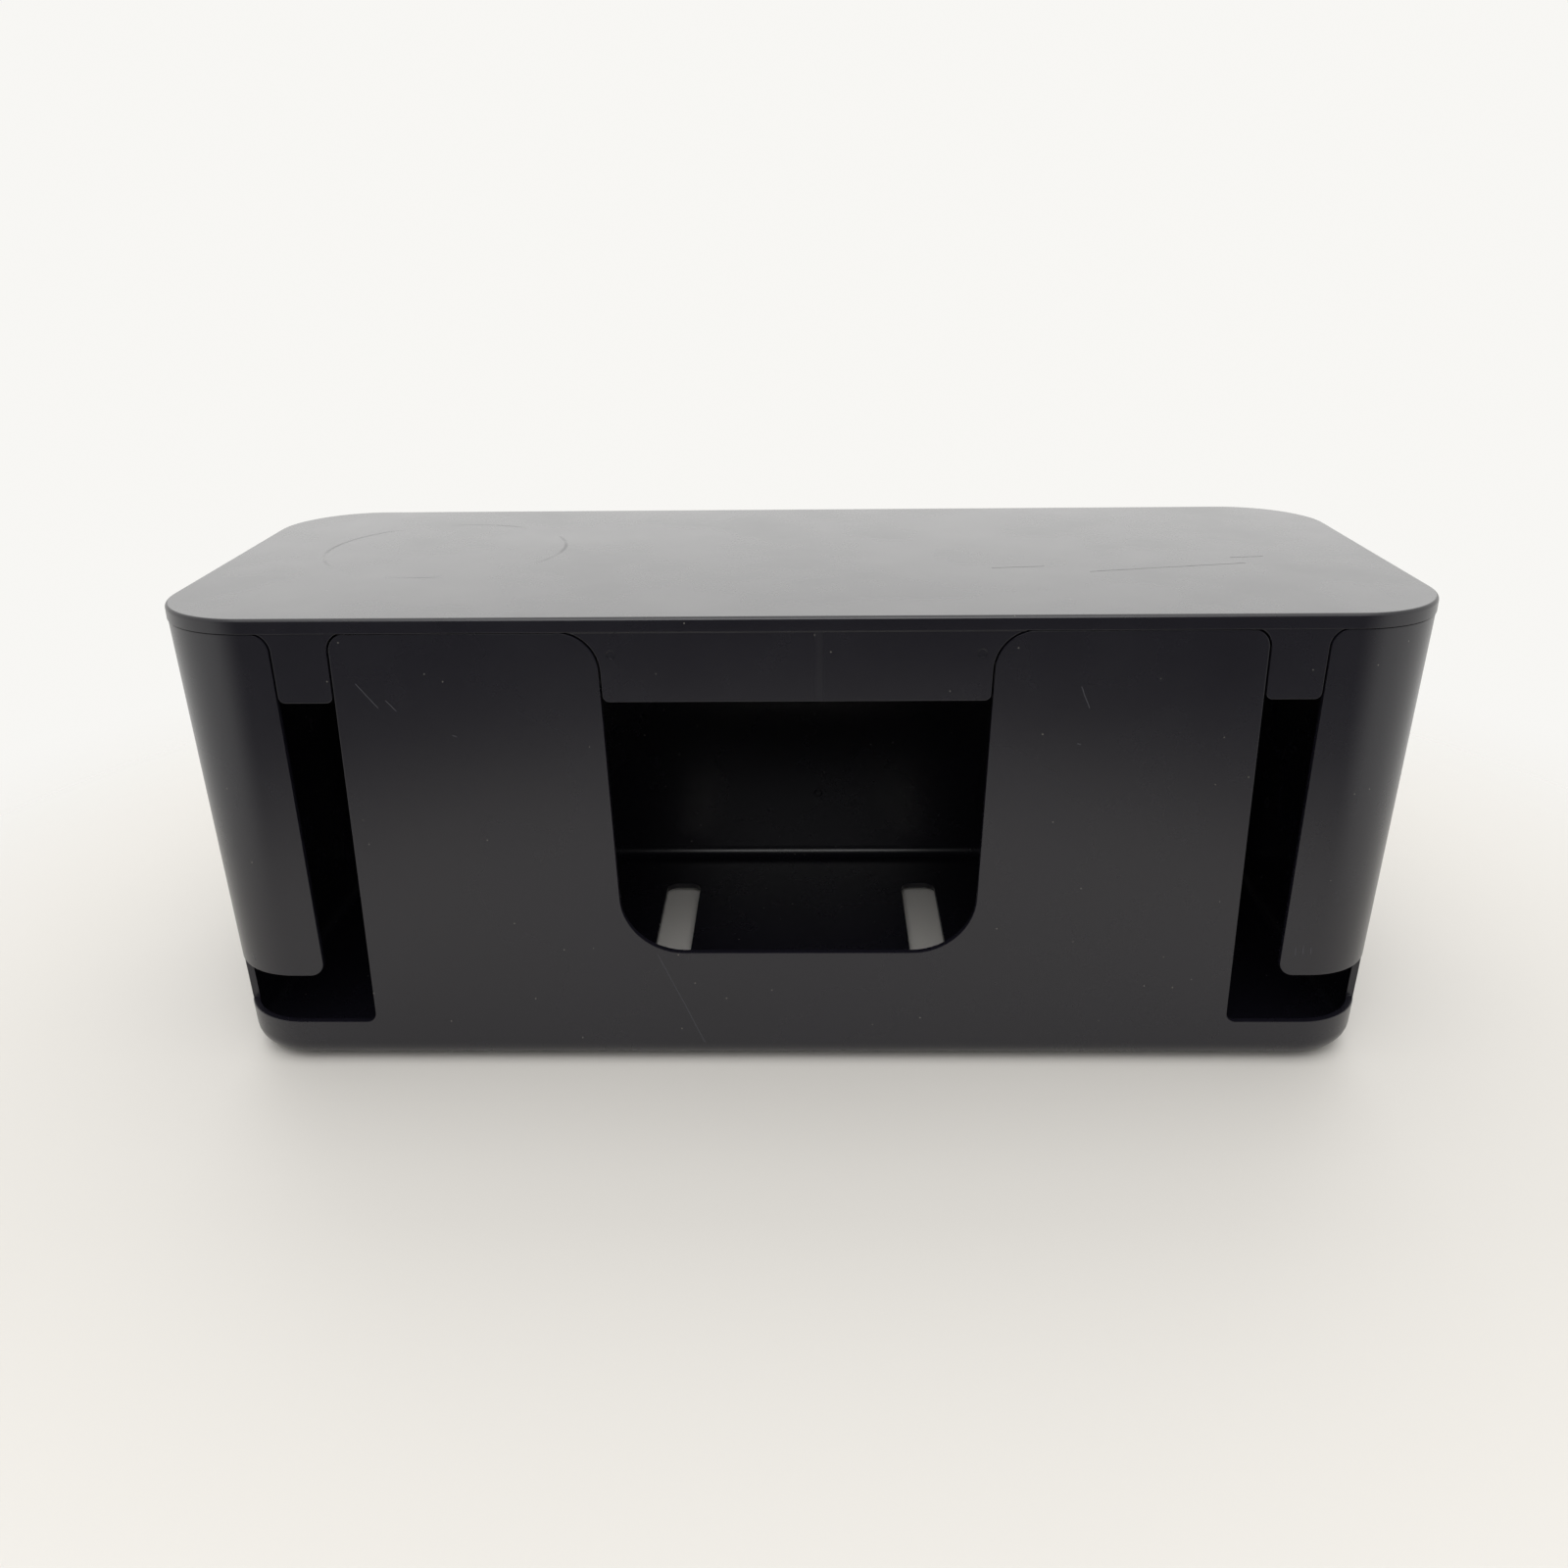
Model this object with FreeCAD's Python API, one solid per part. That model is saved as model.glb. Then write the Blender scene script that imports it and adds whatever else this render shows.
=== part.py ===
import FreeCAD
import Part
import math
import os

# Cable management box: an open moulded tub, a lift-off lid whose three aprons close the tops of
# the cable openings, and four stick-on rubber feet. Millimetres, +Z up, +X along the box.
# The origin is on the table under the middle of the box. The cable side faces -Y.

# Overall size, over the lid's rim
box_length = 405.0
box_width = 165.0
box_height = 159.6

# How far each wall leans in from the rim down to the table, and the upright corners
end_lean = 9.0
side_lean = 1.5
corner_radius_top = 33.4
corner_radius_bottom = 23.4

# Mouldings
tub_wall = 2.4
tub_floor = 2.4
bottom_rounding = 7.0
tub_edge_break = 0.4

# Wide window in the cable side
window_width_top = 121.0
window_width_bottom = 116.8
window_sill = 44.2
window_sill_radius = 20.0
window_shoulder_radius = 12.0

# L slots, one at each end of the cable side: an upright leg, and a low leg round the corner
slot_centre = 151.8
slot_width_top = 18.4
slot_width_bottom = 15.0
slot_sill = 17.4
slot_leg_height = 18.0
slot_sill_radius = 3.2
slot_panel_radius = 5.0
slot_shoulder_radius = 5.5
slot_corner_share = 0.69

# Long slots through the floor
floor_slot_centre = 50.0
floor_slot_length = 100.0
floor_slot_width = 14.0
floor_slot_radius = 4.5

# Lid
rim_height = 4.7
rim_overhang = 0.3
rim_edge_radius = 1.2
rim_lower_edge_break = 0.25
lid_thickness = 2.4
lid_seat_gap = 0.2
lip_depth = 4.0
lip_thickness = 1.8
lip_clearance = 0.4
apron_depth = 22.3
apron_thickness = 2.2
apron_clearance = 0.6
apron_corner_radius = 2.0
gusset_thickness = 1.6
gusset_reach = 7.0
gusset_foot_margin = 5.0
gusset_inset = 3.0

# Rubber feet in shallow round seats
foot_diameter = 12.0
foot_thickness = 3.0
foot_seat_depth = 0.6
foot_seat_clearance = 0.3
foot_edge_break = 0.3
foot_from_end = 34.0
foot_from_side = 26.0

# Levels that follow from the sizes above
tub_base = foot_thickness - foot_seat_depth
rim_base = box_height - rim_height
tub_top = rim_base - lid_seat_gap
lid_underside = box_height - lid_thickness
apron_bottom = rim_base - apron_depth

# Ruled strips that make up each leaning corner
corner_strips = 6

# Degrees that a shoulder turns before it meets the tub's edge, a little short of running out in it
shoulder_sweep = 84.0

# Room that a cutting body takes past what it cuts
spare = 5.0


def vec(x, y, z):
    return FreeCAD.Vector(x, y, z)


def rounded_rectangle(length, width, radius, z, arcs_per_corner=1):
    """Wire of a rectangle with round corners, centred on the origin at height z."""
    hx = length / 2
    hy = width / 2
    edges = []
    for turn in range(4):
        cx = (hx - radius) * (1 if turn in (0, 3) else -1)
        cy = (hy - radius) * (1 if turn in (0, 1) else -1)
        for index in range(arcs_per_corner):
            points = []
            for part in (0, 0.5, 1):
                a = math.radians(90 * (turn + (index + part) / arcs_per_corner))
                points.append(vec(cx + radius * math.cos(a), cy + radius * math.sin(a), z))
            if edges and index == 0:
                edges.append(Part.LineSegment(edges[-1].EndPoint, points[0]))
            edges.append(Part.Arc(*points))
    edges.append(Part.LineSegment(edges[-1].EndPoint, edges[0].StartPoint))
    return Part.Wire([edge.toShape() for edge in edges])


def box_section(z, inset):
    """Outline of the leaning box at height z, moved in from the rim's outer face by inset.

    The rim itself stands upright, so the walls lean from its lower edge down.
    """
    drop = (rim_base - z) / rim_base
    length = box_length - 2 * end_lean * drop - 2 * inset
    width = box_width - 2 * side_lean * drop - 2 * inset
    radius = corner_radius_top + (corner_radius_bottom - corner_radius_top) * drop - inset
    return rounded_rectangle(length, width, radius, z, round(corner_strips))


def leaning_block(z_low, z_high, inset):
    """Solid between two heights, inside the leaning walls: flat sides and ruled round corners."""
    low = box_section(z_low, inset)
    high = box_section(z_high, inset)
    underside = Part.Face(low)
    underside.reverse()
    faces = [underside, Part.Face(high)]
    for below, above in zip(low.OrderedEdges, high.OrderedEdges):
        if below.Curve.TypeId == "Part::GeomLine":
            a, b = [vertex.Point for vertex in below.Vertexes]
            c, d = [vertex.Point for vertex in above.Vertexes]
            faces.append(Part.Face(Part.makePolygon([a, b, d, c, a])))
        else:
            faces.append(Part.makeRuledSurface(below, above))
    shell = Part.Shell(faces)
    shell.sewShape()
    return Part.Solid(shell)


def edges_at(shape, z):
    """Edges that lie flat at height z."""
    found = []
    for edge in shape.Edges:
        box = edge.BoundBox
        if abs(box.ZMin - z) < 0.001 and abs(box.ZMax - z) < 0.001:
            found.append(edge)
    return found


def side_wall_y(z, inset):
    """Where the cable-side wall's face stands at height z."""
    return -(box_width / 2 - side_lean * (rim_base - z) / rim_base - inset)


def extrude_from_cable_side(wire, depth):
    """Body with the outline of a wire in the XZ plane, from outside the cable side inwards."""
    start = -box_width / 2 - spare
    face = Part.Face(wire)
    face.translate(vec(0, start, 0))
    return face.extrude(vec(0, depth + spare, 0))


def arc_about(cx, cz, radius, start_degrees, end_degrees):
    """Arc in the XZ plane about a centre."""
    points = []
    for part in (0, 0.5, 1):
        a = math.radians(start_degrees + part * (end_degrees - start_degrees))
        points.append(vec(cx + radius * math.cos(a), 0, cz + radius * math.sin(a)))
    return Part.Arc(*points).toShape()


def joined(pieces):
    """Closed wire through arcs in order, with straight lines between them."""
    edges = []
    for index, piece in enumerate(pieces):
        edges.append(piece)
        after = pieces[(index + 1) % len(pieces)]
        here = piece.Vertexes[-1].Point
        there = after.Vertexes[0].Point
        if here.distanceToPoint(there) > 0.001:
            edges.append(Part.LineSegment(here, there).toShape())
    return Part.Wire(edges)


def closed_above(pieces):
    """Closed wire through the pieces, carried up past the lid and across."""
    first = pieces[0].Vertexes[0].Point
    last = pieces[-1].Vertexes[-1].Point
    above = box_height + spare
    cap = Part.LineSegment(vec(last.x, 0, above), vec(first.x, 0, above)).toShape()
    return joined(pieces + [cap])


def tongue_outline(centre, half_top, half_bottom, bottom, corner, shoulder, clearance):
    """Outline with flared shoulders at the tub's edge and round corners at its bottom.

    With no clearance it is the opening in the wall, and with one it is the tongue that fills it.
    """
    half_top -= clearance
    half_bottom -= clearance
    flare = shoulder + clearance
    flare_z = tub_top - shoulder
    return closed_above([
        arc_about(centre - half_top - flare, flare_z, flare, shoulder_sweep, 0),
        arc_about(centre - half_bottom + corner, bottom + corner, corner, 180, 270),
        arc_about(centre + half_bottom - corner, bottom + corner, corner, 270, 360),
        arc_about(centre + half_top + flare, flare_z, flare, 180, 180 - shoulder_sweep),
    ])


def window_outline():
    return tongue_outline(0, window_width_top / 2, window_width_bottom / 2, window_sill,
                          window_sill_radius, window_shoulder_radius, 0)


def window_half_width_at(z):
    """Half the window's width at height z, between its flared shoulders and its sill."""
    straight_top = tub_top - window_shoulder_radius
    straight_bottom = window_sill + window_sill_radius
    share = (z - straight_bottom) / (straight_top - straight_bottom)
    return (window_width_bottom + share * (window_width_top - window_width_bottom)) / 2


def slot_half_width_at(z):
    """Half the width of an L slot's upright leg at height z, between its shoulders and its sill."""
    straight_top = tub_top - slot_shoulder_radius
    straight_bottom = slot_sill + slot_sill_radius
    share = (z - straight_bottom) / (straight_top - straight_bottom)
    return (slot_width_bottom + share * (slot_width_top - slot_width_bottom)) / 2


def slot_outline():
    """Outline of the L slot at the +X end, with its low leg open past the end of the box."""
    leg_top = slot_sill + slot_leg_height
    far = box_length / 2 + spare
    corner = slot_sill_radius
    shoulder = slot_shoulder_radius
    panel = slot_panel_radius
    half_top = slot_width_top / 2
    sill_start = slot_centre - slot_width_bottom / 2 + corner
    panel_start = slot_centre + slot_half_width_at(leg_top + panel) + panel
    return closed_above([
        arc_about(slot_centre - half_top - shoulder, tub_top - shoulder, shoulder, shoulder_sweep, 0),
        arc_about(sill_start, slot_sill + corner, corner, 180, 270),
        Part.LineSegment(vec(far, 0, slot_sill), vec(far, 0, leg_top)).toShape(),
        arc_about(panel_start, leg_top + panel, panel, 270, 180),
        arc_about(slot_centre + half_top + shoulder, tub_top - shoulder, shoulder, 180,
                  180 - shoulder_sweep),
    ])


def slot_depth():
    """How far in from the cable side the low leg runs: most of the way round the box's corner."""
    middle = slot_sill + slot_leg_height / 2
    drop = (rim_base - middle) / rim_base
    radius = corner_radius_top + (corner_radius_bottom - corner_radius_top) * drop
    return side_lean * drop + radius * slot_corner_share


def mirrored_in_x(shape):
    return shape.mirror(vec(0, 0, 0), vec(1, 0, 0))


def floor_slot():
    """Long slot along Y with round corners, cut through the floor at the +X side."""
    outline = rounded_rectangle(floor_slot_width, floor_slot_length, floor_slot_radius, 0)
    body = Part.Face(outline).extrude(vec(0, 0, tub_base + tub_floor + spare))
    body.translate(vec(floor_slot_centre, 0, 0))
    return body


def foot_places():
    """Name and centre of each foot."""
    x = box_length / 2 - end_lean - foot_from_end
    y = box_width / 2 - side_lean - foot_from_side
    return {
        "foot_cable_left": (-x, -y),
        "foot_cable_right": (x, -y),
        "foot_plain_left": (-x, y),
        "foot_plain_right": (x, y),
    }


def make_tub():
    outside = leaning_block(tub_base, tub_top, rim_overhang)
    outside = outside.makeFillet(bottom_rounding, edges_at(outside, tub_base))
    inner_rounding = max(bottom_rounding - tub_wall, 1.0)
    inner_base = tub_base + tub_floor
    inside = leaning_block(inner_base, tub_top + spare, rim_overhang + tub_wall)
    inside = inside.makeFillet(inner_rounding, edges_at(inside, inner_base))
    tub = outside.cut(inside)
    tub = tub.makeChamfer(tub_edge_break, edges_at(tub, tub_top))
    cable_slot = extrude_from_cable_side(slot_outline(), slot_depth())
    window_depth = side_lean + rim_overhang + tub_wall + spare
    cuts = [
        extrude_from_cable_side(window_outline(), window_depth),
        cable_slot,
        mirrored_in_x(cable_slot),
        floor_slot(),
        mirrored_in_x(floor_slot()),
    ]
    seat_radius = foot_diameter / 2 + foot_seat_clearance
    for x, y in foot_places().values():
        cuts.append(Part.makeCylinder(seat_radius, foot_thickness, vec(x, y, 0)))
    return tub.cut(cuts)


def make_foot(x, y):
    foot = Part.makeCylinder(foot_diameter / 2, foot_thickness, vec(x, y, 0))
    return foot.makeChamfer(foot_edge_break, edges_at(foot, 0))


def apron_outlines():
    """Outlines of the lid's centre apron and of its two end tabs."""
    clearance = apron_clearance
    half_bottom = window_half_width_at(apron_bottom)
    half_top = window_half_width_at(tub_top - window_shoulder_radius)
    outlines = [tongue_outline(0, half_top, half_bottom, apron_bottom, apron_corner_radius,
                               window_shoulder_radius, clearance)]
    for side in (-1, 1):
        outlines.append(tongue_outline(side * slot_centre, slot_width_top / 2,
                                       slot_half_width_at(apron_bottom), apron_bottom,
                                       apron_corner_radius, slot_shoulder_radius, clearance))
    return outlines


def make_gusset(x):
    """Upright rib behind an apron, widest under the lid and running out near the apron's foot."""
    foot_z = apron_bottom + gusset_foot_margin
    face_z = [foot_z, lid_underside + lid_thickness / 2]
    back = [side_wall_y(z, rim_overhang + apron_thickness / 2) for z in face_z]
    corners = [
        vec(x, back[0], face_z[0]),
        vec(x, back[1], face_z[1]),
        vec(x, back[1] + gusset_reach, face_z[1]),
        vec(x, back[1] + gusset_reach, rim_base),
        vec(x, back[0], face_z[0]),
    ]
    rib = Part.Face(Part.makePolygon(corners)).extrude(vec(gusset_thickness, 0, 0))
    rib.translate(vec(-gusset_thickness / 2, 0, 0))
    return rib


def make_lid():
    plate = Part.Face(box_section(rim_base, 0)).extrude(vec(0, 0, rim_height))
    plate = plate.makeFillet(rim_edge_radius, edges_at(plate, box_height))
    plate = plate.makeChamfer(rim_lower_edge_break, edges_at(plate, rim_base))
    lip_inset = rim_overhang + tub_wall + lip_clearance
    lip_base = rim_base - lip_depth
    lip = leaning_block(lip_base, lid_underside, lip_inset)
    hollow = leaning_block(lip_base - spare, lid_underside, lip_inset + lip_thickness)
    aprons = []
    apron_shell = leaning_block(apron_bottom - spare, lid_underside, rim_overhang)
    apron_shell = apron_shell.cut(
        leaning_block(apron_bottom - 2 * spare, box_height, rim_overhang + apron_thickness))
    apron_reach = rim_overhang + apron_thickness + side_lean + lip_clearance + lip_thickness + spare
    for outline in apron_outlines():
        zone = extrude_from_cable_side(outline, apron_reach)
        lip = lip.cut(zone)
        aprons.append(apron_shell.common(zone))
    lid = plate.fuse(lip).cut(hollow)
    gusset_x = window_half_width_at(apron_bottom) - apron_clearance - gusset_inset
    gussets = [make_gusset(x) for x in (-slot_centre, -gusset_x, gusset_x, slot_centre)]
    lid = lid.fuse(aprons + gussets)
    return lid.removeSplitter()


def write_part(name, shape):
    solid = shape.Solids[0] if len(shape.Solids) == 1 else shape
    solid.exportStep(os.path.join("parts", name + ".step"))
    print(name, "solids", len(shape.Solids), "valid", shape.isValid(),
          "volume", round(shape.Volume, 1))


os.makedirs("parts", exist_ok=True)
write_part("tub", make_tub())
write_part("lid", make_lid())
for foot_name, place in foot_places().items():
    write_part(foot_name, make_foot(*place))
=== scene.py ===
import bpy
import bmesh
import math
from mathutils import Matrix, Vector


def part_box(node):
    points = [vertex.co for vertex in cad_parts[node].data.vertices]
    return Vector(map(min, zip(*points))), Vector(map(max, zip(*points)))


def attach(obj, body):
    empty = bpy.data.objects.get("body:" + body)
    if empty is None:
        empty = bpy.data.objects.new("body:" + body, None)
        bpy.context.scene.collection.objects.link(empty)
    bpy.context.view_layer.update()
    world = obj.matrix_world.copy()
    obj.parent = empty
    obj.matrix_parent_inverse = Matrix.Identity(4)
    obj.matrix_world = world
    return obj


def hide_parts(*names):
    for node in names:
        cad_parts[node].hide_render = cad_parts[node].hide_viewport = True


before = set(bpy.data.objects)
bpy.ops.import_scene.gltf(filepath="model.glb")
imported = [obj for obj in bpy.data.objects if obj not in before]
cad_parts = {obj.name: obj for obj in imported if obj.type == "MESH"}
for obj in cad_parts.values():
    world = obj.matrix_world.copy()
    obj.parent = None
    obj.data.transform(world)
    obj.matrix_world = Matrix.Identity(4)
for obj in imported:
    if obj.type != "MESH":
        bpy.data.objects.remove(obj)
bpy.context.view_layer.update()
bpy.ops.object.select_all(action='DESELECT')

mm = 0.001
tubLow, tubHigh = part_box("tub")
lidLow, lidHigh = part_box("lid")
print("frame loaded,", len(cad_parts), "nodes")

# the whole box in millimetres: outer sizes come from the frame, the rest are its mould sizes
box = {
    "length": (lidHigh.x - lidLow.x) / mm,
    "width": (lidHigh.y - lidLow.y) / mm,
    "top": lidHigh.z / mm,
    "tubTop": tubHigh.z / mm,
    "base": tubLow.z / mm,
    "rim": 4.7,              # height of the lid's upright edge
    "overhang": 0.3,         # how far the rim stands outside the wall
    "endLean": 9.0,          # how far the ends come in from the rim down to the table
    "sideLean": 1.5,
    "cornerTop": 33.4,
    "cornerFoot": 23.4,
    "wall": 2.4,
    "cornerSteps": 26,       # facets round one corner
    "arcSteps": 14,          # facets round one corner of an opening
    "largeCorner": 22.0,     # from this radius on a corner gets the finer steps
    "smoothAngle": 40,
    "bevelAngle": 35,
}
rimBase = box["top"] - box["rim"]


# modelling helpers

def readyToModel():
    if bpy.context.object and bpy.context.object.mode != 'OBJECT':
        bpy.ops.object.mode_set(mode='OBJECT')
    bpy.ops.object.select_all(action='DESELECT')


def onlyThis(piece):
    readyToModel()
    piece.select_set(True)
    bpy.context.view_layer.objects.active = piece


def selectWhere(piece, kind, test):
    # selects the verts, edges or faces that pass a test on their place or normal
    mesh = bmesh.from_edit_mesh(piece.data)
    bpy.ops.mesh.select_mode(type=kind)
    bpy.ops.mesh.select_all(action='DESELECT')
    parts = {'VERT': mesh.verts, 'EDGE': mesh.edges, 'FACE': mesh.faces}[kind]
    for part in parts:
        if test(part):
            part.select_set(True)
    mesh.select_flush(True)
    bmesh.update_edit_mesh(piece.data)


def flatAt(z, within=0.02):
    # test for an edge or face that lies level at a height in millimetres
    return lambda part: all(abs(vert.co.z / mm - z) < within for vert in part.verts)


def applyModifier(piece, kind, **settings):
    onlyThis(piece)
    modifier = piece.modifiers.new(kind.title(), kind)
    for key, value in settings.items():
        setattr(modifier, key, value)
    bpy.ops.object.modifier_apply(modifier=modifier.name)


def combine(piece, tools, operation):
    # cuts the tools out of a piece, or grows them into it
    for tool in tools:
        applyModifier(piece, 'BOOLEAN', object=tool, operation=operation, solver='EXACT')
        bpy.data.objects.remove(tool)


def outline(name, corners):
    # a flat outline: a filled circle with one point for each corner, each moved to its place and rounded
    # a corner is (x, y, z, radius) in millimetres
    readyToModel()
    bpy.ops.mesh.primitive_circle_add(vertices=len(corners), radius=mm, fill_type='NGON')
    piece = bpy.context.object
    piece.name = name
    bpy.ops.object.mode_set(mode='EDIT')
    mesh = bmesh.from_edit_mesh(piece.data)
    mesh.verts.ensure_lookup_table()
    for vert, corner in zip(mesh.verts, corners):
        vert.co = Vector(corner[:3]) * mm
    bmesh.update_edit_mesh(piece.data)
    for corner in corners:
        if corner[3] > 0:
            place = Vector(corner[:3]) * mm
            selectWhere(piece, 'VERT', lambda vert: (vert.co - place).length < 0.01 * mm)
            steps = box["cornerSteps"] if corner[3] > box["largeCorner"] else box["arcSteps"]
            bpy.ops.mesh.bevel(offset=corner[3] * mm, segments=steps, affect='VERTICES', profile=0.5)
    bpy.ops.object.mode_set(mode='OBJECT')
    return piece


def pushOut(piece, move):
    # gives an outline its depth
    onlyThis(piece)
    bpy.ops.object.mode_set(mode='EDIT')
    bpy.ops.mesh.select_all(action='SELECT')
    bpy.ops.mesh.extrude_region_move(TRANSFORM_OT_translate={"value": Vector(move) * mm})
    bpy.ops.mesh.select_all(action='SELECT')
    bpy.ops.mesh.normals_make_consistent(inside=False)
    bpy.ops.object.mode_set(mode='OBJECT')
    return piece


def boxOutline(name, z, inset):
    # the box's rounded outline at a height, moved in from the rim
    drop = (rimBase - z) / rimBase
    x = box["length"] / 2 - box["endLean"] * drop - inset
    y = box["width"] / 2 - box["sideLean"] * drop - inset
    r = box["cornerTop"] + (box["cornerFoot"] - box["cornerTop"]) * drop - inset
    return outline(name, [(-x, -y, z, r), (x, -y, z, r), (x, y, z, r), (-x, y, z, r)])


def soften(piece, width, segments=2):
    # rounds the moulding's edges, then shades it smooth with the flat faces kept flat
    applyModifier(piece, 'BEVEL', width=width * mm, segments=segments, limit_method='ANGLE',
                  angle_limit=math.radians(box["bevelAngle"]), use_clamp_overlap=False,
                  harden_normals=False)
    onlyThis(piece)
    bpy.ops.object.shade_smooth_by_angle(angle=math.radians(box["smoothAngle"]))
    applyModifier(piece, 'WEIGHTED_NORMAL', keep_sharp=True, weight=80)


def wallY(z):
    # where the cable side's outer face stands at a height, on the rim's own line
    return -box["width"] / 2 + box["sideLean"] * max(0, rimBase - z) / rimBase


# the openings of the cable side, and the tongues of the lid that close their tops

window = {"topWidth": 121.0, "footWidth": 116.8, "sill": 44.2, "sillRadius": 20.0, "shoulder": 12.0}
slot = {
    "centre": 151.8,         # from the box's middle, one to each side
    "topWidth": 18.4,
    "footWidth": 15.0,
    "sill": 17.4,
    "legHeight": 18.0,
    "sillRadius": 3.2,
    "panelRadius": 5.0,
    "shoulder": 5.5,
    "depth": 18.6,           # how far back the low leg runs round the box's corner
}
floorSlot = {"centre": 50.0, "length": 100.0, "width": 14.0, "radius": 4.5}
apron = {"foot": lidLow.z / mm, "thickness": 2.2, "gap": 0.6, "corner": 2.0}
headRise = 0.07              # the shoulders' curves end this far above the tub's edge
outside = 8.0                # how far cutting bodies reach past what they cut


def halfWidthAt(opening, z):
    # openings are a little narrower at the foot, which is the mould's draft
    foot = opening["sill"] + opening["sillRadius"]
    head = box["tubTop"] - opening["shoulder"]
    share = (z - foot) / (head - foot)
    return (opening["footWidth"] + share * (opening["topWidth"] - opening["footWidth"])) / 2


def tongueCorners(centre, footHalf, headHalf, foot, corner, shoulder, gap, above):
    # T outline: round corners at its foot, flared shoulders where it meets the tub's edge
    y = -box["width"] / 2 - outside
    head = box["tubTop"] + headRise + gap
    wing = headHalf + shoulder + outside
    return [(centre - footHalf + gap, y, foot, corner), (centre + footHalf - gap, y, foot, corner),
            (centre + headHalf - gap, y, head, shoulder + gap), (centre + wing, y, head, 0),
            (centre + wing, y, above, 0), (centre - wing, y, above, 0),
            (centre - wing, y, head, 0), (centre - headHalf + gap, y, head, shoulder + gap)]


def slotCorners(side):
    # L outline: an upright leg open to the tub's edge, and a low leg that runs out past the end
    y = -box["width"] / 2 - outside
    legTop = slot["sill"] + slot["legHeight"]
    low = halfWidthAt(slot, slot["sill"])
    knee = halfWidthAt(slot, legTop)
    high = halfWidthAt(slot, box["tubTop"])
    middle = slot["centre"]
    far = box["length"] / 2 + outside
    head = box["tubTop"] + headRise
    above = box["top"] + outside
    wing = slot["shoulder"] + outside
    corners = [(middle - low, slot["sill"], slot["sillRadius"]), (far, slot["sill"], 0),
               (far, legTop, 0), (middle + knee, legTop, slot["panelRadius"]),
               (middle + high, head, slot["shoulder"]), (middle + high + wing, head, 0),
               (middle + high + wing, above, 0), (middle - high - wing, above, 0),
               (middle - high - wing, head, 0), (middle - high, head, slot["shoulder"])]
    return [(side * x, y, z, r) for x, z, r in corners]


# the tub

tub = {
    "footRounding": 7.0,     # where the walls turn into the floor
    "footSteps": 8,
    "edge": 0.35,            # rounding of the moulding's edges
    "seatClearance": 0.3,    # round each rubber foot
    "gateRadius": 1.6,
    "gateHeight": 0.35,
    "gateX": 7.7,
    "gateZ": 35.0,
}


def makeTubBody():
    # two rounded outlines bridged, closed and rounded at the foot, then given the wall's thickness
    body = boxOutline("tubShell", box["tubTop"], box["overhang"])
    foot = boxOutline("tubFoot", box["base"], box["overhang"])
    readyToModel()
    foot.select_set(True)
    body.select_set(True)
    bpy.context.view_layer.objects.active = body
    bpy.ops.object.join()
    bpy.ops.object.mode_set(mode='EDIT')
    bpy.ops.mesh.select_all(action='SELECT')
    bpy.ops.mesh.delete(type='ONLY_FACE')
    bpy.ops.mesh.select_mode(type='EDGE')
    bpy.ops.mesh.select_all(action='SELECT')
    bpy.ops.mesh.bridge_edge_loops()
    selectWhere(body, 'EDGE', flatAt(box["base"]))
    bpy.ops.mesh.edge_face_add()
    selectWhere(body, 'EDGE', flatAt(box["base"]))
    bpy.ops.mesh.bevel(offset=tub["footRounding"] * mm, segments=tub["footSteps"],
                       affect='EDGES', profile=0.5)
    bpy.ops.mesh.select_all(action='SELECT')
    bpy.ops.mesh.normals_make_consistent(inside=False)
    bpy.ops.object.mode_set(mode='OBJECT')
    applyModifier(body, 'SOLIDIFY', thickness=box["wall"] * mm, offset=-1, use_even_offset=True)
    return body


def tubOpenings():
    # cutting bodies of the window, the two L slots and the two slots in the floor
    above = box["top"] + outside
    depth = outside + box["sideLean"] + box["overhang"] + box["wall"] + outside
    tools = [pushOut(outline("windowTool", tongueCorners(
        0, halfWidthAt(window, window["sill"]), halfWidthAt(window, box["tubTop"]), window["sill"],
        window["sillRadius"], window["shoulder"], 0, above)), (0, depth, 0))]
    half = floorSlot["width"] / 2
    for side in (-1, 1):
        tools.append(pushOut(outline("slotTool", slotCorners(side)), (0, slot["depth"] + outside, 0)))
        x = side * floorSlot["centre"]
        y = floorSlot["length"] / 2
        r = floorSlot["radius"]
        tools.append(pushOut(outline("floorTool", [
            (x - half, -y, -outside, r), (x + half, -y, -outside, r),
            (x + half, y, -outside, r), (x - half, y, -outside, r)]), (0, 0, 2 * outside)))
    return tools


def footSeats():
    # shallow round seats that the rubber feet are stuck into
    tools = []
    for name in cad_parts:
        if name.startswith("foot"):
            low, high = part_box(name)
            middle = (low + high) / 2
            radius = (high.x - low.x) / 2 + tub["seatClearance"] * mm
            readyToModel()
            bpy.ops.mesh.primitive_cylinder_add(
                vertices=48, radius=radius, depth=2 * high.z, location=(middle.x, middle.y, 0))
            bpy.ops.object.transform_apply()
            tools.append(bpy.context.object)
    return tools


def gateMark():
    # the stub where the plastic entered the mould, on the inside of the plain side
    y = -wallY(tub["gateZ"]) - box["overhang"] - box["wall"]
    readyToModel()
    bpy.ops.mesh.primitive_cylinder_add(
        vertices=32, radius=tub["gateRadius"] * mm, depth=4 * tub["gateHeight"] * mm,
        rotation=(math.radians(90), 0, 0),
        location=(tub["gateX"] * mm, (y + tub["gateHeight"]) * mm, tub["gateZ"] * mm))
    bpy.ops.object.transform_apply()
    return bpy.context.object


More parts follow.
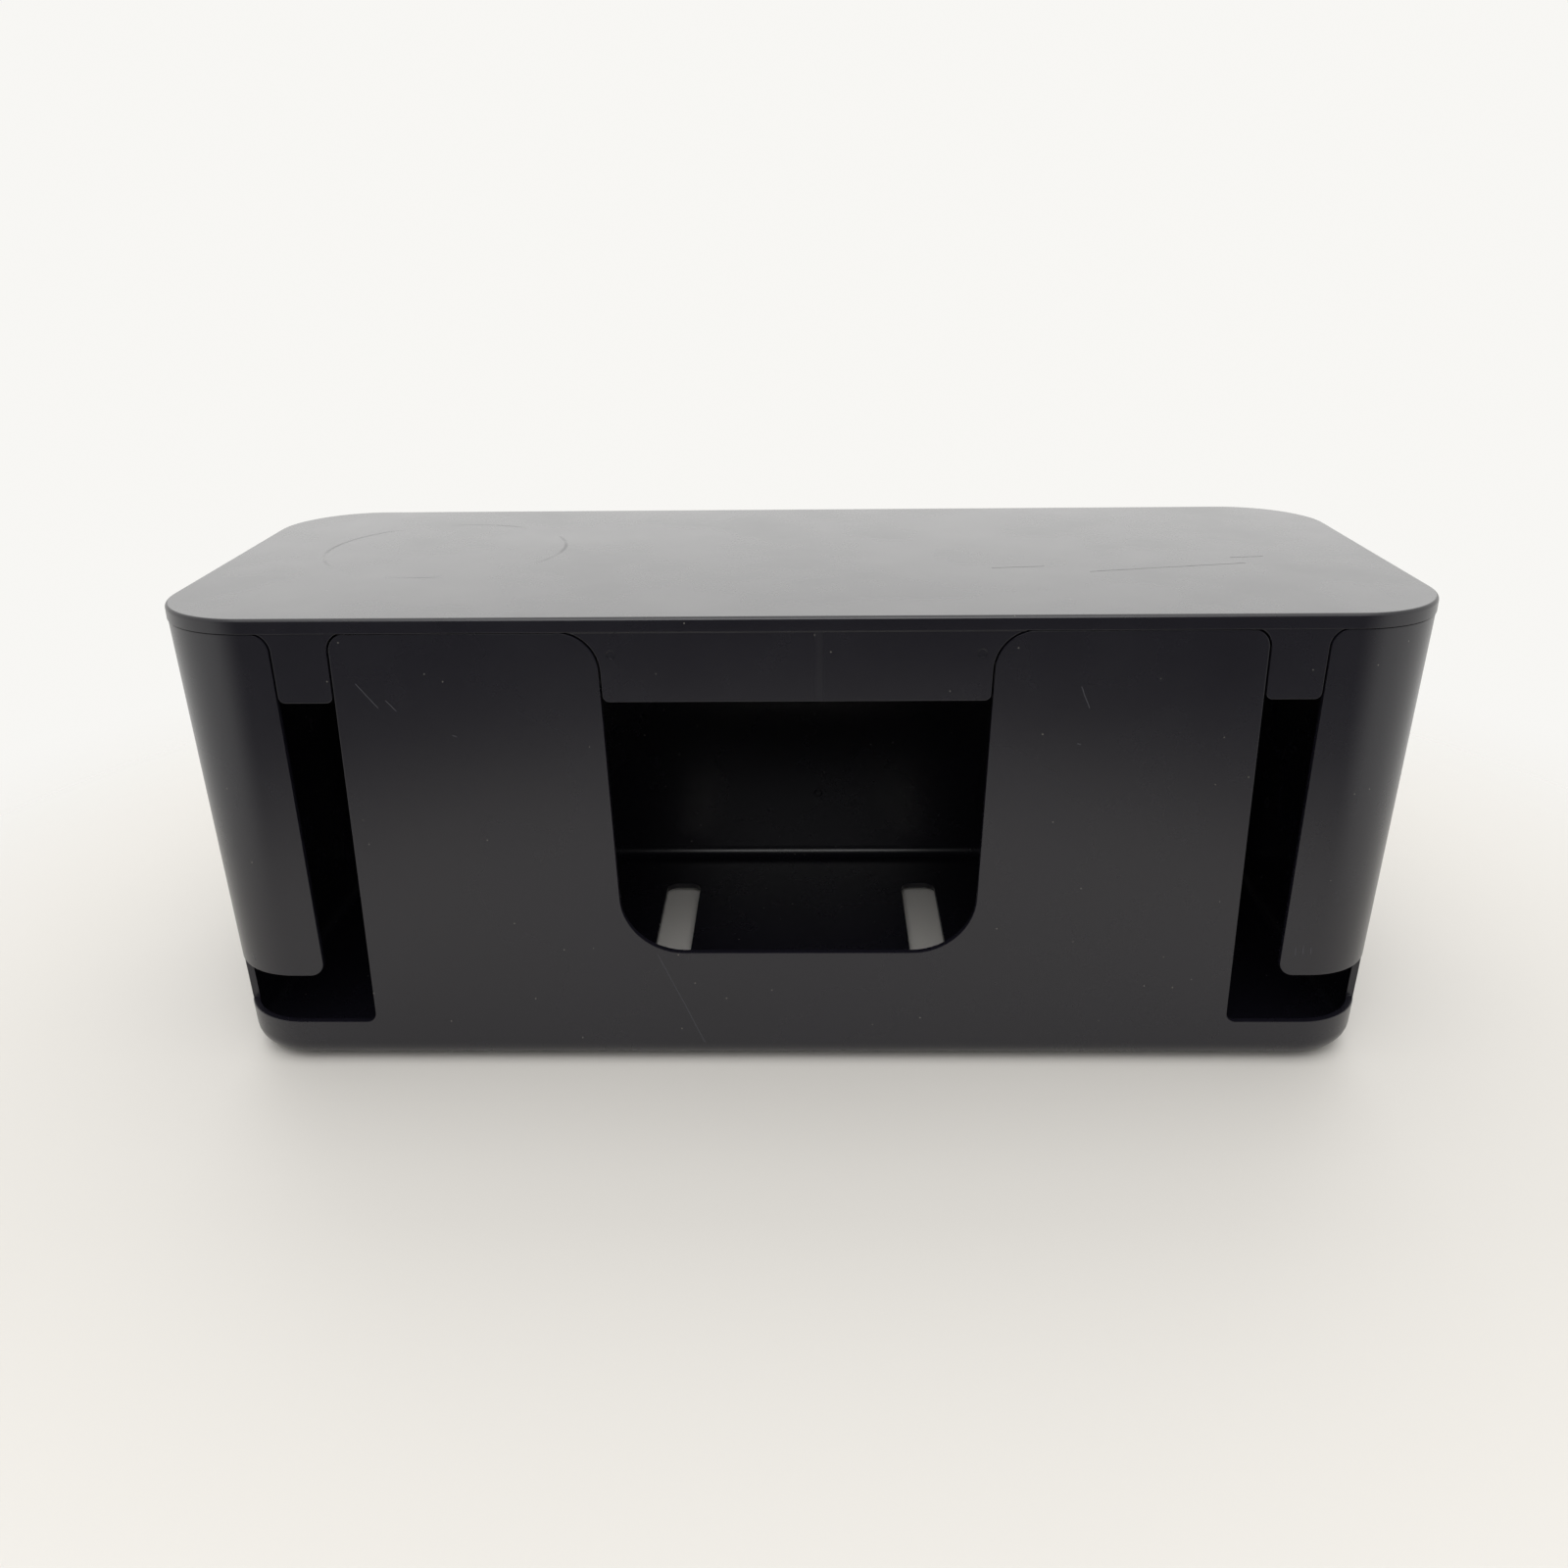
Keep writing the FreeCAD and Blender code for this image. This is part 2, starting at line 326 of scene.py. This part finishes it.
def makeTub():
    body = makeTubBody()
    combine(body, tubOpenings() + footSeats(), 'DIFFERENCE')
    combine(body, [gateMark()], 'UNION')
    soften(body, tub["edge"])
    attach(body, "box")
    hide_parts("tub")
    print("tub modelled,", len(body.data.polygons), "faces")
    return body


# the lid

lid = {
    "edgeRadius": 1.2,       # round the top
    "edgeSteps": 5,
    "plate": 2.4,
    "lipClearance": 0.4,     # between the lip and the tub's inside
    "lipThickness": 1.8,
    "lipDepth": 4.0,
    "edge": 0.25,            # rounding of the moulding's edges
    "gussetThickness": 1.6,
    "gussetReach": 7.0,      # how far a gusset runs inwards under the plate
    "gussetToe": 0.8,        # and at its foot
    "gussetFoot": 5.0,       # how far above the apron's foot it starts
    "gussetInset": 3.0,      # from the apron's sides
    "markRadius": 1.35,      # ejector marks
    "markDepth": 0.15,
    "markX": 56.4,
    "markDrop": 7.0,
    "overcut": 0.05,         # the lip's gaps are cut this far into the rim's underside
}
lipInset = box["overhang"] + box["wall"] + lid["lipClearance"]


def makeLidPlate():
    # a rounded slab whose underside is inset twice: the middle goes up, and the ring between goes down
    plate = pushOut(boxOutline("lidMoulding", rimBase, 0), (0, 0, box["rim"]))
    onlyThis(plate)
    bpy.ops.object.mode_set(mode='EDIT')
    selectWhere(plate, 'EDGE', flatAt(box["top"]))
    bpy.ops.mesh.bevel(offset=lid["edgeRadius"] * mm, segments=lid["edgeSteps"],
                       affect='EDGES', profile=0.5)
    selectWhere(plate, 'FACE', flatAt(rimBase))
    bpy.ops.mesh.inset(thickness=lipInset * mm, use_even_offset=True)
    selectWhere(plate, 'FACE', lambda face: flatAt(rimBase)(face) and face.normal.z < -0.9
                and len(face.verts) > 4)
    bpy.ops.mesh.inset(thickness=lid["lipThickness"] * mm, use_even_offset=True)
    # the second inset's ring becomes the lip, and the face inside it is raised to the plate
    selectWhere(plate, 'FACE', lambda face: flatAt(rimBase)(face) and len(face.verts) > 4)
    bpy.ops.mesh.extrude_region_move(
        TRANSFORM_OT_translate={"value": (0, 0, (box["rim"] - lid["plate"]) * mm)})
    cornerX = box["length"] / 2 - box["cornerTop"]
    cornerY = box["width"] / 2 - box["cornerTop"]
    lipMiddle = box["cornerTop"] - lipInset - lid["lipThickness"] / 2

    def onLip(face):
        # the ring's faces, by their distance from the rounded outline's own centre line
        if not flatAt(rimBase)(face):
            return False
        centre = face.calc_center_median() / mm
        dx = max(abs(centre.x) - cornerX, 0)
        dy = max(abs(centre.y) - cornerY, 0)
        return abs(math.hypot(dx, dy) - lipMiddle) < lid["lipThickness"] / 2

    selectWhere(plate, 'FACE', onLip)
    bpy.ops.mesh.extrude_region_move(TRANSFORM_OT_translate={"value": (0, 0, -lid["lipDepth"] * mm)})
    bpy.ops.mesh.select_all(action='SELECT')
    bpy.ops.mesh.normals_make_consistent(inside=False)
    bpy.ops.object.mode_set(mode='OBJECT')
    return plate


def apronKinds():
    # centre, half width at the foot and at the tub's edge, and shoulder of each tongue
    kinds = []
    for centre, opening in ((0, window), (-slot["centre"], slot), (slot["centre"], slot)):
        kinds.append((centre, halfWidthAt(opening, apron["foot"]), halfWidthAt(opening, box["tubTop"]),
                      opening["shoulder"]))
    return kinds


def lipGaps():
    # the lip stops where the aprons stand
    tools = []
    for centre, footHalf, headHalf, shoulder in apronKinds():
        reach = lipInset + lid["lipThickness"] + outside / 2
        half = headHalf + shoulder
        low = rimBase - lid["lipDepth"] - outside
        high = rimBase + lid["overcut"]
        y = -box["width"] / 2 - outside
        tools.append(pushOut(outline("lipTool", [
            (centre - half, y, low, 0), (centre + half, y, low, 0),
            (centre + half, y, high, 0), (centre - half, y, high, 0)]), (0, outside + reach, 0)))
    return tools


def makeAprons():
    # the centre apron and the two tabs, leaning with the wall
    tongues = []
    for centre, footHalf, headHalf, shoulder in apronKinds():
        corners = tongueCorners(centre, footHalf, headHalf, apron["foot"], apron["corner"],
                                shoulder, apron["gap"], rimBase + box["rim"] / 3)
        # the tongue's wings would stick out under the rim, so the head stops at its shoulders
        head = headHalf + shoulder
        corners = [(min(max(x, centre - head), centre + head), y, max(z, 0), r) for x, y, z, r in corners]
        tongue = outline("tongue", corners)
        pushOut(tongue, (0, apron["thickness"], 0))
        for vert in tongue.data.vertices:
            vert.co.y += (outside + box["overhang"]) * mm + (wallY(vert.co.z / mm) + box["width"] / 2) * mm
        tongues.append(tongue)
    return tongues


def makeGussets():
    # thin ribs behind the aprons that hold them square to the plate
    ribs = []
    insideX = halfWidthAt(window, apron["foot"]) - apron["gap"] - lid["gussetInset"]
    under = box["top"] - lid["plate"] / 2
    foot = apron["foot"] + lid["gussetFoot"]
    for x in (-slot["centre"], -insideX, insideX, slot["centre"]):
        back = wallY(under) + box["overhang"] + apron["thickness"] / 2
        readyToModel()
        bpy.ops.mesh.primitive_cube_add(size=mm, location=(0, 0, 0))
        rib = bpy.context.object
        for vert in rib.data.vertices:
            low = vert.co.z < 0
            inward = vert.co.y > 0
            vert.co.x = (x + math.copysign(lid["gussetThickness"] / 2, vert.co.x)) * mm
            reach = lid["gussetToe"] if low else lid["gussetReach"]
            vert.co.y = (back + reach * inward) * mm
            vert.co.z = (foot if low else under) * mm
        ribs.append(rib)
    return ribs


def ejectorMarks():
    # the two small round marks that the mould's ejector pins left in the centre apron
    marks = []
    z = rimBase - lid["markDrop"]
    for side in (-1, 1):
        readyToModel()
        bpy.ops.mesh.primitive_cylinder_add(
            vertices=24, radius=lid["markRadius"] * mm, depth=2 * lid["markDepth"] * mm,
            rotation=(math.radians(90), 0, 0),
            location=(side * lid["markX"] * mm, (wallY(z) + box["overhang"]) * mm, z * mm))
        bpy.ops.object.transform_apply()
        marks.append(bpy.context.object)
    return marks


def makeLid():
    plate = makeLidPlate()
    combine(plate, lipGaps(), 'DIFFERENCE')
    combine(plate, makeAprons() + makeGussets(), 'UNION')
    combine(plate, ejectorMarks(), 'DIFFERENCE')
    soften(plate, lid["edge"])
    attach(plate, "cover")
    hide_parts("lid")
    print("lid modelled,", len(plate.data.polygons), "faces")
    return plate


# finishes

def linearColour(hexCode):
    # an sRGB hex colour in the linear values that shaders take
    channels = []
    for start in (0, 2, 4):
        value = int(hexCode[start:start + 2], 16) / 255
        channels.append(value / 12.92 if value <= 0.04045 else ((value + 0.055) / 1.055) ** 2.4)
    return (*channels, 1)


def addNode(tree, kind, settings=None, inputs=None):
    # adds a node; an input is a value, or another node's output to link from
    node = tree.nodes.new(kind)
    for key, value in (settings or {}).items():
        setattr(node, key, value)
    for key, value in (inputs or {}).items():
        if isinstance(value, bpy.types.NodeSocket):
            tree.links.new(value, node.inputs[key])
        else:
            node.inputs[key].default_value = value
    return node


mouldedAbs = {
    "colour": "121118",      # carbon black masterbatch, a little cold
    "colourWorn": "17161E",
    "ior": 1.54,
    "roughness": 0.27,       # spark-eroded mould, fine satin grain
    "smudge": 0.04,          # how much handling changes the gloss
    "smudgeSize": 45.0,
    "smudgeFrom": 0.3,       # the part of the noise that counts
    "smudgeTo": 0.7,
    "grainSize": 0.7,        # the real grain is 0.1 mm, drawn coarser so that it shows
    "grainDepth": 0.02,
    "grainStrength": 0.35,
    "dustSize": 5.0,         # one speck in each cell of this size
    "dustRadius": 0.045,     # share of a cell
    "dustShare": 0.45,       # share of the cells that have a speck
    "dust": "62605B",
}

# wear on the lid: dark scratches, the ring a cup left, and the weld line down the centre apron
lidMarks = {
    "scratches": [((66, -22), (84, -20)), ((98, -28), (153, -17)), ((150, -9), (162, -7))],
    "flat": (0, 1),          # the two axes that the scratches are drawn on
    "side": (2, 'GREATER_THAN', rimBase),    # axis, test and limit: only the top has them
    "scratchWidth": 0.4,
    "scratchSway": 2.4,      # times its width
    "scratchDepth": 0.1,
    "scratchDull": 0.5,      # a torn surface shines less, so on the bright top it reads dark
    "scratchColour": "0B0B0E",
    "swaySize": 6.0,
    "ringCentre": (-128, 12),
    "ringRadius": 43.0,
    "ringWidth": 0.6,
    "ringDull": 0.09,
    "ringBreak": 30.0,       # size of the patches where it has worn off
    "ringFrom": 0.42,
    "ringTo": 0.56,
    "weldX": 7.0,
    "weldWidth": 1.6,
    "weldDull": 0.06,
}

# scuffs on the tub: short marks by the right L slot, rubs on the two wide panels, one under the window
tubMarks = {
    "scratches": [((164, 46), (164.2, 43)), ((166.5, 46.5), (166.6, 43.5)), ((169, 46), (169.2, 43.5)),
                  ((-135.6, 139), (-129.6, 131)), ((-127, 133.5), (-124, 130)),
                  ((-107.4, 122), (-106, 121.4)), ((87, 137), (90, 130)), ((87, 118.4), (88.2, 118)),
                  ((-47, 44), (-32, 9))],
    "flat": (0, 2),
    "side": (1, 'LESS_THAN', 0.0),           # only the cable side has them
    "scratchWidth": 0.24,
    "scratchSway": 2.4,
    "scratchDepth": 0.04,
    "scratchDull": 0.3,
    "scratchColour": "34343A",
    "swaySize": 6.0,
}


def scratchMask(tree, place, marks):
    # 1 on the scratches and 0 elsewhere
    width, flat = marks["scratchWidth"], marks["flat"]
    sway = marks["scratchSway"] * width * mm
    axes = addNode(tree, 'ShaderNodeSeparateXYZ', inputs={0: place})
    axis, test, limit = marks["side"]
    side = addNode(tree, 'ShaderNodeMath', settings={"operation": test}, inputs={
        0: axes.outputs[axis], 1: limit * mm})
    wobble = addNode(tree, 'ShaderNodeTexNoise', inputs={
        "Vector": place, "Scale": 1 / (marks["swaySize"] * mm)})
    total = None
    for start, end in marks["scratches"]:
        start, end = Vector(start) * mm, Vector(end) * mm
        along = (end - start).normalized()
        middle = (start + end) / 2
        half = (end - start).length / 2
        first = addNode(tree, 'ShaderNodeMath', settings={"operation": 'SUBTRACT'}, inputs={
            0: axes.outputs[flat[0]], 1: middle.x})
        second = addNode(tree, 'ShaderNodeMath', settings={"operation": 'SUBTRACT'}, inputs={
            0: axes.outputs[flat[1]], 1: middle.y})
        onward = addNode(tree, 'ShaderNodeMath', settings={"operation": 'MULTIPLY'}, inputs={
            0: second.outputs[0], 1: along.y})
        onward = addNode(tree, 'ShaderNodeMath', settings={"operation": 'MULTIPLY_ADD'}, inputs={
            0: first.outputs[0], 1: along.x, 2: onward.outputs[0]})
        across = addNode(tree, 'ShaderNodeMath', settings={"operation": 'MULTIPLY'}, inputs={
            0: second.outputs[0], 1: along.x})
        across = addNode(tree, 'ShaderNodeMath', settings={"operation": 'MULTIPLY_ADD'}, inputs={
            0: first.outputs[0], 1: -along.y, 2: across.outputs[0]})
        # a scratch wanders a little from its straight line
        across = addNode(tree, 'ShaderNodeMath', settings={"operation": 'MULTIPLY_ADD'}, inputs={
            0: wobble.outputs["Fac"], 1: sway, 2: across.outputs[0]})
        across = addNode(tree, 'ShaderNodeMath', settings={"operation": 'ADD'}, inputs={
            0: across.outputs[0], 1: -sway / 2})
        near = addNode(tree, 'ShaderNodeMath', settings={"operation": 'COMPARE'}, inputs={
            0: across.outputs[0], 1: 0.0, 2: width / 2 * mm})
        length = addNode(tree, 'ShaderNodeMath', settings={"operation": 'COMPARE'}, inputs={
            0: onward.outputs[0], 1: 0.0, 2: half})
        mark = addNode(tree, 'ShaderNodeMath', settings={"operation": 'MULTIPLY'}, inputs={
            0: near.outputs[0], 1: length.outputs[0]})
        if total is None:
            total = mark
        else:
            total = addNode(tree, 'ShaderNodeMath', settings={"operation": 'MAXIMUM'}, inputs={
                0: total.outputs[0], 1: mark.outputs[0]})
    return addNode(tree, 'ShaderNodeMath', settings={"operation": 'MULTIPLY'}, inputs={
        0: total.outputs[0], 1: side.outputs[0]}).outputs[0]


def mouldedAbsFinish(name, values, marks):
    # injection-moulded ABS: near black and satin, so a bright sweep turns it grey at a low angle
    # the eye also finds a fine even grain, soft patches from handling, specks of dust and some wear
    material = bpy.data.materials.new(name)
    material.use_nodes = True
    tree = material.node_tree
    tree.nodes.clear()
    place = addNode(tree, 'ShaderNodeTexCoord').outputs["Object"]
    grain = addNode(tree, 'ShaderNodeTexNoise', inputs={
        "Vector": place, "Scale": 1 / (values["grainSize"] * mm), "Detail": 3.0})
    smudge = addNode(tree, 'ShaderNodeTexNoise', inputs={
        "Vector": place, "Scale": 1 / (values["smudgeSize"] * mm), "Detail": 5.0, "Roughness": 0.6})
    scratch = scratchMask(tree, place, marks)
    cells = addNode(tree, 'ShaderNodeTexVoronoi', inputs={
        "Vector": place, "Scale": 1 / (values["dustSize"] * mm)})
    speck = addNode(tree, 'ShaderNodeMath', settings={"operation": 'LESS_THAN'}, inputs={
        0: cells.outputs["Distance"], 1: values["dustRadius"]})
    chosen = addNode(tree, 'ShaderNodeSeparateColor', inputs={0: cells.outputs["Color"]})
    chosen = addNode(tree, 'ShaderNodeMath', settings={"operation": 'LESS_THAN'}, inputs={
        0: chosen.outputs[0], 1: values["dustShare"]})
    dust = addNode(tree, 'ShaderNodeMath', settings={"operation": 'MULTIPLY'}, inputs={
        0: speck.outputs[0], 1: chosen.outputs[0]})
    tone = addNode(tree, 'ShaderNodeMix', settings={"data_type": 'RGBA'}, inputs={
        0: smudge.outputs["Fac"], 6: linearColour(values["colour"]),
        7: linearColour(values["colourWorn"])})
    tone = addNode(tree, 'ShaderNodeMix', settings={"data_type": 'RGBA'}, inputs={
        0: scratch, 6: tone.outputs[2], 7: linearColour(marks["scratchColour"])})
    tone = addNode(tree, 'ShaderNodeMix', settings={"data_type": 'RGBA'}, inputs={
        0: dust.outputs[0], 6: tone.outputs[2], 7: linearColour(values["dust"])})
    gloss = addNode(tree, 'ShaderNodeMapRange', inputs={
        "Value": smudge.outputs["Fac"], "From Min": values["smudgeFrom"], "From Max": values["smudgeTo"],
        "To Min": values["roughness"] - values["smudge"] / 2,
        "To Max": values["roughness"] + values["smudge"] / 2})
    dull = addNode(tree, 'ShaderNodeMath', settings={"operation": 'MULTIPLY_ADD', "use_clamp": True}, inputs={
        0: scratch, 1: marks["scratchDull"], 2: gloss.outputs["Result"]})
    height = addNode(tree, 'ShaderNodeMath', settings={"operation": 'MULTIPLY_ADD'}, inputs={
        0: scratch, 1: -marks["scratchDepth"] / values["grainDepth"], 2: grain.outputs["Fac"]})
    if "ringRadius" in marks:
        dull = lidWear(tree, place, marks, dull)
    bump = addNode(tree, 'ShaderNodeBump', inputs={
        "Height": height.outputs[0], "Strength": values["grainStrength"],
        "Distance": values["grainDepth"] * mm})
    shader = addNode(tree, 'ShaderNodeBsdfPrincipled', inputs={
        "Base Color": tone.outputs[2], "Roughness": dull.outputs[0], "IOR": values["ior"],
        "Normal": bump.outputs["Normal"]})
    addNode(tree, 'ShaderNodeOutputMaterial', inputs={"Surface": shader.outputs["BSDF"]})
    return material


def lidWear(tree, place, marks, dull):
    # the cup's ring and the weld line are both faintly duller than the plastic round them
    axes = addNode(tree, 'ShaderNodeSeparateXYZ', inputs={0: place})
    flat = addNode(tree, 'ShaderNodeCombineXYZ', inputs={0: axes.outputs[0], 1: axes.outputs[1]})
    centre = Vector((*marks["ringCentre"], 0)) * mm
    reach = addNode(tree, 'ShaderNodeVectorMath', settings={"operation": 'DISTANCE'}, inputs={
        0: flat.outputs[0], 1: centre})
    broken = addNode(tree, 'ShaderNodeTexNoise', inputs={
        "Vector": place, "Scale": 1 / (marks["ringBreak"] * mm)})
    broken = addNode(tree, 'ShaderNodeMapRange', inputs={
        "Value": broken.outputs["Fac"], "From Min": marks["ringFrom"], "From Max": marks["ringTo"]})
    ring = addNode(tree, 'ShaderNodeMath', settings={"operation": 'COMPARE'}, inputs={
        0: reach.outputs["Value"], 1: marks["ringRadius"] * mm, 2: marks["ringWidth"] * mm})
    ring = addNode(tree, 'ShaderNodeMath', settings={"operation": 'MULTIPLY'}, inputs={
        0: ring.outputs[0], 1: broken.outputs["Result"]})
    dull = addNode(tree, 'ShaderNodeMath', settings={"operation": 'MULTIPLY_ADD'}, inputs={
        0: ring.outputs[0], 1: marks["ringDull"], 2: dull.outputs[0]})
    weld = addNode(tree, 'ShaderNodeMath', settings={"operation": 'SUBTRACT'}, inputs={
        0: axes.outputs[0], 1: marks["weldX"] * mm})
    weld = addNode(tree, 'ShaderNodeMath', settings={"operation": 'ABSOLUTE'}, inputs={
        0: weld.outputs[0]})
    weld = addNode(tree, 'ShaderNodeMapRange', settings={"interpolation_type": 'SMOOTHSTEP'}, inputs={
        "Value": weld.outputs[0], "From Min": 0.0, "From Max": marks["weldWidth"] * mm,
        "To Min": 1.0, "To Max": 0.0})
    onApron = addNode(tree, 'ShaderNodeMath', settings={"operation": 'LESS_THAN'}, inputs={
        0: axes.outputs[2], 1: rimBase * mm})
    weld = addNode(tree, 'ShaderNodeMath', settings={"operation": 'MULTIPLY'}, inputs={
        0: weld.outputs["Result"], 1: onApron.outputs[0]})
    return addNode(tree, 'ShaderNodeMath', settings={"operation": 'MULTIPLY_ADD'}, inputs={
        0: weld.outputs[0], 1: marks["weldDull"], 2: dull.outputs[0]})


footRubber = {
    "colour": "141414",
    "roughness": 0.75,
    "ior": 1.52,
    "grainSize": 0.5,        # drawn coarser than the real 0.2 mm
    "grainDepth": 0.02,
    "grainStrength": 0.4,
}


def footRubberFinish():
    # die-cut rubber: matt black and faintly grainy, so it takes no reflection from the table
    material = bpy.data.materials.new("footRubber")
    material.use_nodes = True
    tree = material.node_tree
    tree.nodes.clear()
    place = addNode(tree, 'ShaderNodeTexCoord')
    grain = addNode(tree, 'ShaderNodeTexNoise', inputs={
        "Vector": place.outputs["Object"], "Scale": 1 / (footRubber["grainSize"] * mm)})
    bump = addNode(tree, 'ShaderNodeBump', inputs={
        "Height": grain.outputs["Fac"], "Strength": footRubber["grainStrength"],
        "Distance": footRubber["grainDepth"] * mm})
    shader = addNode(tree, 'ShaderNodeBsdfPrincipled', inputs={
        "Base Color": linearColour(footRubber["colour"]), "Roughness": footRubber["roughness"],
        "IOR": footRubber["ior"], "Normal": bump.outputs["Normal"]})
    addNode(tree, 'ShaderNodeOutputMaterial', inputs={"Surface": shader.outputs["BSDF"]})
    return material


def dress(piece, material):
    piece.data.materials.clear()
    piece.data.materials.append(material)


# the studio

studio = {
    "floor": "E3E0DB",
    "floorRoughness": 0.6,
    "floorRadius": 3.0,
    "fadeFrom": 0.28,        # metres: the table runs out softly into the white of the sweep
    "fadeTo": 0.5,
    "white": "FBFAF7",
    "backdrop": 0.97,        # what the camera sees
    "ambient": 0.6,          # what lights the matt part of a surface
    "sweepFrom": -0.92,      # gloss goes from the dim room to the white sweep between these directions
    "sweepTo": -0.55,
    "sweep": 1.0,
    "room": 0.04,
}


def makeFloor():
    readyToModel()
    bpy.ops.mesh.primitive_circle_add(vertices=96, radius=studio["floorRadius"], fill_type='NGON')
    floor = bpy.context.object
    floor.name = "studioFloor"
    material = bpy.data.materials.new("paleTable")
    material.use_nodes = True
    tree = material.node_tree
    tree.nodes.clear()
    place = addNode(tree, 'ShaderNodeTexCoord')
    reach = addNode(tree, 'ShaderNodeVectorMath', settings={"operation": 'LENGTH'}, inputs={
        0: place.outputs["Object"]})
    fade = addNode(tree, 'ShaderNodeMapRange', settings={"interpolation_type": 'SMOOTHSTEP'}, inputs={
        "Value": reach.outputs["Value"], "From Min": studio["fadeFrom"], "From Max": studio["fadeTo"]})
    table = addNode(tree, 'ShaderNodeBsdfPrincipled', inputs={
        "Base Color": linearColour(studio["floor"]), "Roughness": studio["floorRoughness"]})
    beyond = addNode(tree, 'ShaderNodeBsdfTransparent')
    surface = addNode(tree, 'ShaderNodeMixShader', inputs={
        0: fade.outputs["Result"], 1: table.outputs[0], 2: beyond.outputs[0]})
    addNode(tree, 'ShaderNodeOutputMaterial', inputs={"Surface": surface.outputs[0]})
    dress(floor, material)


def makeWorld():
    world = bpy.data.worlds.new("studioWorld")
    bpy.context.scene.world = world
    world.use_nodes = True
    tree = world.node_tree
    tree.nodes.clear()
    path = addNode(tree, 'ShaderNodeLightPath')
    seen = addNode(tree, 'ShaderNodeMath', settings={"operation": 'MAXIMUM'}, inputs={
        0: path.outputs["Is Camera Ray"], 1: path.outputs["Is Transmission Ray"]})
    place = addNode(tree, 'ShaderNodeTexCoord')
    axes = addNode(tree, 'ShaderNodeSeparateXYZ', inputs={0: place.outputs["Generated"]})
    # gloss sees the white sweep behind and beside the box, and the dim room on the camera's side
    sweep = addNode(tree, 'ShaderNodeMapRange', settings={"interpolation_type": 'SMOOTHSTEP'}, inputs={
        "Value": axes.outputs["Y"], "From Min": studio["sweepFrom"], "From Max": studio["sweepTo"],
        "To Min": studio["room"], "To Max": studio["sweep"]})
    level = addNode(tree, 'ShaderNodeMix', settings={"data_type": 'FLOAT'}, inputs={
        0: path.outputs["Is Glossy Ray"], 2: studio["ambient"], 3: sweep.outputs["Result"]})
    shown = addNode(tree, 'ShaderNodeMix', settings={"data_type": 'FLOAT'}, inputs={
        0: seen.outputs[0], 2: level.outputs[0], 3: studio["backdrop"]})
    background = addNode(tree, 'ShaderNodeBackground', inputs={
        "Color": linearColour(studio["white"]), "Strength": shown.outputs[0]})
    addNode(tree, 'ShaderNodeOutputWorld', inputs={"Surface": background.outputs[0]})


# places and sizes in metres, power in watts
lamps = [
    {"name": "overheadSoftbox", "place": (0.0, -0.4, 1.5), "aim": (0, -0.1, 0), "size": 1.8, "power": 8},
    {"name": "frontFill", "place": (0.0, -1.05, 1.0), "aim": (0, -0.1, 0), "size": 0.9, "power": 7},
    {"name": "backSoftbox", "place": (0.0, 1.5, 0.95), "aim": (0, 0, 0.1), "size": 2.6, "power": 16},
]


def makeLamps():
    for lamp in lamps:
        data = bpy.data.lights.new(lamp["name"], 'AREA')
        data.shape = 'SQUARE'
        data.size = lamp["size"]
        data.energy = lamp["power"]
        light = bpy.data.objects.new(lamp["name"], data)
        bpy.context.scene.collection.objects.link(light)
        light.location = lamp["place"]
        direction = Vector(lamp["aim"]) - Vector(lamp["place"])
        light.rotation_euler = direction.to_track_quat('-Z', 'Y').to_euler()
        light.visible_camera = False


# fitted to the photo's outlines of the box
camera = {
    "place": (0.0041, -0.4836, 0.2703),
    "lens": 31.65,
    "sensor": 36.0,
    "turn": 1.17,
    "tilt": -22.34,
    "roll": -0.63,
    "clip": 0.01,
}


def makeCamera():
    data = bpy.data.cameras.new("photoCamera")
    data.sensor_width = camera["sensor"]
    data.lens = camera["lens"]
    data.clip_start = camera["clip"]
    view = bpy.data.objects.new("photoCamera", data)
    bpy.context.scene.collection.objects.link(view)
    view.matrix_world = (Matrix.Translation(camera["place"])
                         @ Matrix.Rotation(math.radians(camera["turn"]), 4, 'Z')
                         @ Matrix.Rotation(math.radians(90 + camera["tilt"]), 4, 'X')
                         @ Matrix.Rotation(math.radians(camera["roll"]), 4, 'Z'))
    bpy.context.scene.camera = view


tubPiece = makeTub()
lidPiece = makeLid()
dress(tubPiece, mouldedAbsFinish("mouldedAbsTub", mouldedAbs, tubMarks))
dress(lidPiece, mouldedAbsFinish("mouldedAbsLid", mouldedAbs, lidMarks))
rubber = footRubberFinish()
for name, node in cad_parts.items():
    if name.startswith("foot"):
        dress(node, rubber)
print("finishes given")
makeFloor()
makeWorld()
makeLamps()
makeCamera()
bpy.context.scene.view_settings.view_transform = 'Standard'
print("studio ready")
